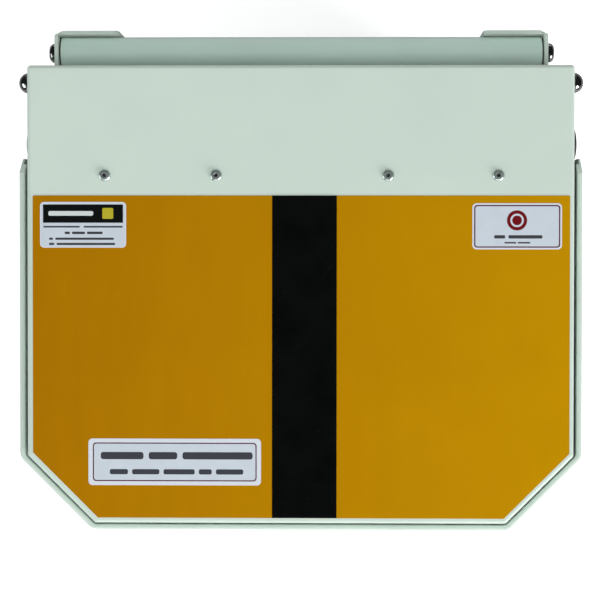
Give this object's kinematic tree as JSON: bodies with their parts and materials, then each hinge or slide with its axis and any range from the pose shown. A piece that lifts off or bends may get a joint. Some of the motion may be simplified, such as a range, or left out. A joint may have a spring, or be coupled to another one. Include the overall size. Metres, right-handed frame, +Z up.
{
  "type": "pedal bin",
  "caption": "Free-standing sack holder pedal bin: pedal, lever and lift rod raise a hinged chamfered lid over a removable folded steel body with rear handle and wheels.",
  "frame": {"origin": "on the floor, under the middle of the whole bin's box, so midway across its width and midway from the pedal's front edge to the posts' rear faces", "axes": "+X to the right seen from the front, +Y to the rear where the handle is, +Z up; the pedal is at -Y"},
  "size_m": [0.435, 0.447, 0.8271],
  "materials": {
    "white_paint": "satin",
    "grey_paint": "satin",
    "zinc_steel": "satin",
    "bright_wire": "polished",
    "chrome": "polished",
    "rivet_alu": "satin",
    "black_steel": "satin",
    "yellow_vinyl": "gloss",
    "black_vinyl": "gloss",
    "white_sticker": "gloss",
    "white_nylon": "matte",
    "black_nylon": "matte",
    "grey_hub": "matte",
    "black_rubber": "matte",
    "wheel_rubber": "matte",
    "elastic": "matte"
  },
  "bodies": {
    "frame": {"back_panel": "white_paint", "left_post": "white_paint", "right_post": "white_paint", "post_bolts": "zinc_steel", "m6_nuts": "zinc_steel", "base_tray": "white_paint", "front_feet": "black_rubber", "hinge_rod": "zinc_steel", "rod_caps": "chrome", "hinge_spacers": "white_nylon", "handle_tube": "grey_paint", "handle_inserts": "black_nylon", "handle_screws": "chrome", "sack_hoop": "bright_wire", "hoop_brackets": "zinc_steel", "sack_band": "elastic", "rod_duct": "white_paint", "panel_rivets": "rivet_alu", "upper_rod_guide": "white_nylon", "lower_rod_guide": "white_nylon", "damper_cylinder": "black_steel", "damper_clamp": "black_nylon", "guide_screws": "zinc_steel", "pedal_bracket": "zinc_steel", "pedal_bracket_bolts": "zinc_steel", "pedal_axle": "zinc_steel", "pedal_axle_caps": "chrome", "pedal_spacers": "white_nylon", "pedal_stops": "black_rubber", "wheel_axle": "zinc_steel", "wheel_spacers": "white_nylon", "cheek_plugs": "black_nylon", "cover_catches": "black_nylon"},
    "lid": {"lid_panel": "white_paint", "lid_bracket": "zinc_steel", "lid_rivets": "rivet_alu", "lid_bushes": "white_nylon", "lid_label": "yellow_vinyl", "label_stripe": "black_vinyl", "maker_sticker": "white_sticker", "safety_sticker": "white_sticker", "guide_sticker": "white_sticker"},
    "lift_rod": {"lift_rod": "zinc_steel", "rod_head": "black_nylon", "rod_foot": "black_nylon", "rod_pins": "zinc_steel", "pin_clips": "zinc_steel", "damper_piston": "zinc_steel", "damper_link": "black_nylon"},
    "pedal": {"pedal_lever": "black_steel", "pedal_plate": "black_steel", "pedal_pad": "black_rubber", "pedal_rivets": "rivet_alu", "pedal_bushes": "white_nylon"},
    "left_wheel": {"left_wheel_hub": "grey_hub", "left_wheel_tyre": "wheel_rubber"},
    "right_wheel": {"right_wheel_hub": "grey_hub", "right_wheel_tyre": "wheel_rubber"},
    "body_cover": {"body_cover": "white_paint", "cover_strikers": "zinc_steel"}
  },
  "joints": [
    {"name": "lid_hinge", "type": "hinge", "parent": "frame", "child": "lid", "pos_m": [0, 0.18152, 0.813], "axis": [-1, 0, 0], "range_deg": [0, 72]},
    {"name": "rod_slide", "type": "slide", "parent": "frame", "child": "lift_rod", "axis": [0, 0, 1], "range_m": [0, 0.0437]},
    {"name": "pedal_hinge", "type": "hinge", "parent": "frame", "child": "pedal", "pos_m": [0, -0.01348, 0.044], "axis": [1, 0, 0], "range_deg": [0, 15.1]},
    {"name": "left_wheel_spin", "type": "hinge", "parent": "frame", "child": "left_wheel", "pos_m": [-0.175, 0.19852, 0.024], "axis": [1, 0, 0], "continuous": true},
    {"name": "right_wheel_spin", "type": "hinge", "parent": "frame", "child": "right_wheel", "pos_m": [0.175, 0.19852, 0.024], "axis": [1, 0, 0], "continuous": true},
    {"name": "cover_slide", "type": "slide", "parent": "frame", "child": "body_cover", "axis": [0, -1, 0], "range_m": [0, 0.4]}
  ],
  "couplings": [
    {"joint": "rod_slide", "follows": "lid_hinge", "m_per_rad": 0.03469},
    {"joint": "pedal_hinge", "follows": "lid_hinge", "ratio": 0.20903}
  ]
}
